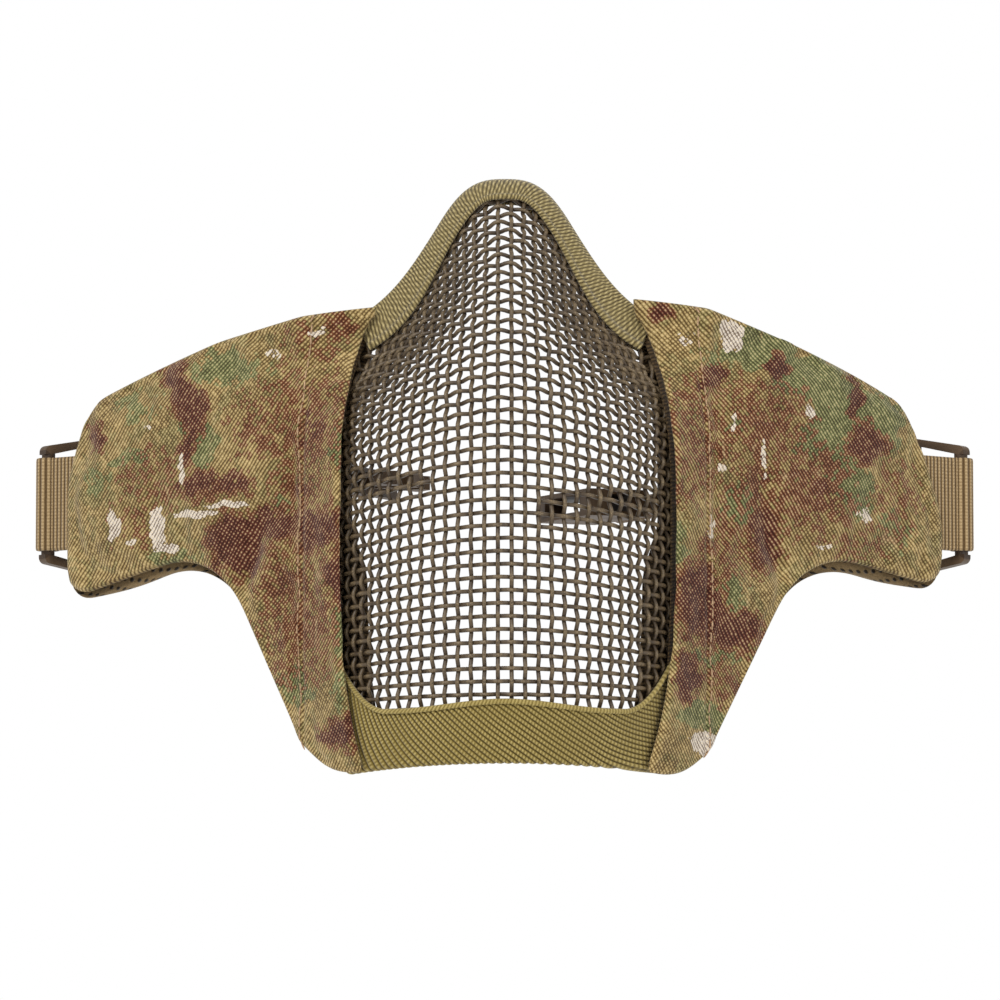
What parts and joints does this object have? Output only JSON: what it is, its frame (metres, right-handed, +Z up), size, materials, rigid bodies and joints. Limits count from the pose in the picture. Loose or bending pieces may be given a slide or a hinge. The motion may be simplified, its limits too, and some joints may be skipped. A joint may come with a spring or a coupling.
{
  "type": "half-face mask",
  "caption": "Half-face mask with a formed wire-cloth screen over nose and mouth, folding padded camouflage wings, and a split buckle strap held in swinging rings.",
  "frame": {"origin": "in the plane of the face opening, on the middle plane, at the height of the mouth line", "axes": "+X to the wearer's left, +Y back towards the wearer's face and head, +Z up"},
  "size_m": [0.2528, 0.1049, 0.1573],
  "materials": {
    "coated_wire": "tan-brown powder coat on woven steel wire, satin",
    "olive_tape": "olive folded elastic tape, fine diagonal weave",
    "ribbed_elastic": "olive elastic with deep diagonal ribs",
    "dark_tape": "dark brown binding tape",
    "camo_cloth": "coarse nylon plain weave printed with khaki, green, brown and off-white blotches",
    "foam": "dark closed-cell foam, hidden inside",
    "spacer_mesh": "tan knitted spacer mesh",
    "webbing": "tan ribbed webbing",
    "strap_elastic": "brown woven elastic",
    "brown_plastic": "dark brown moulded acetal, fine matt grain"
  },
  "bodies": {
    "face_unit": {"mesh_screen": "coated_wire", "nose_binding": "olive_tape", "chin_band": "ribbed_elastic", "left_side_binding": "dark_tape", "right_side_binding": "dark_tape", "left_front_hem": "camo_cloth", "right_front_hem": "camo_cloth"},
    "left_wing": {"left_wing_cover": "camo_cloth", "left_wing_foam": "foam", "left_wing_lining": "spacer_mesh", "left_webbing_loop": "webbing"},
    "left_ring": {"left_strap_ring": "brown_plastic"},
    "left_strap_half": {"left_strap": "strap_elastic"},
    "left_keeper": {"left_strap_keeper": "brown_plastic"},
    "right_wing": {"right_wing_cover": "camo_cloth", "right_wing_foam": "foam", "right_wing_lining": "spacer_mesh", "right_webbing_loop": "webbing"},
    "right_ring": {"right_strap_ring": "brown_plastic"},
    "right_strap_half": {"right_strap": "strap_elastic"},
    "right_keeper": {"right_strap_keeper": "brown_plastic"},
    "left_buckle": {"left_buckle_socket": "brown_plastic"},
    "right_buckle": {"right_buckle_plug": "brown_plastic"}
  },
  "joints": [
    {"name": "left_wing_fold", "type": "hinge", "parent": "face_unit", "child": "left_wing", "pos_m": [0.0523, -0.0015, 0], "axis": [0, 0, 1], "range_deg": [-25, 30], "stiffness_Nm_per_rad": 0.05},
    {"name": "left_ring_swing", "type": "hinge", "parent": "left_wing", "child": "left_ring", "pos_m": [0.12293, 0.05421, 0], "axis": [0, 0, 1], "range_deg": [-115, 0]},
    {"name": "left_strap_swing", "type": "hinge", "parent": "left_ring", "child": "left_strap_half", "pos_m": [0.11118, 0.06184, 0], "axis": [0, 0, 1], "range_deg": [-100, 2]},
    {"name": "left_keeper_slide", "type": "slide", "parent": "left_strap_half", "child": "left_keeper", "axis": [-0.9135, -0.4067, 0], "range_m": [-0.013, 0.02]},
    {"name": "left_buckle_tilt", "type": "hinge", "parent": "left_strap_half", "child": "left_buckle", "pos_m": [0.03536, 0.02807, -0.003], "axis": [0.4067, -0.9135, 0], "range_deg": [-35, 35]},
    {"name": "right_wing_fold", "type": "hinge", "parent": "face_unit", "child": "right_wing", "pos_m": [-0.0523, -0.0015, 0], "axis": [0, 0, 1], "range_deg": [-30, 25], "stiffness_Nm_per_rad": 0.05},
    {"name": "right_ring_swing", "type": "hinge", "parent": "right_wing", "child": "right_ring", "pos_m": [-0.12293, 0.05421, 0], "axis": [0, 0, 1], "range_deg": [0, 115]},
    {"name": "right_strap_swing", "type": "hinge", "parent": "right_ring", "child": "right_strap_half", "pos_m": [-0.11118, 0.06184, 0], "axis": [0, 0, 1], "range_deg": [-2, 100]},
    {"name": "right_keeper_slide", "type": "slide", "parent": "right_strap_half", "child": "right_keeper", "axis": [0.9135, -0.4067, 0], "range_m": [-0.013, 0.013]},
    {"name": "right_buckle_tilt", "type": "hinge", "parent": "right_strap_half", "child": "right_buckle", "pos_m": [-0.04267, 0.03133, 0.004], "axis": [-0.4067, -0.9135, 0], "range_deg": [-35, 35]}
  ]
}
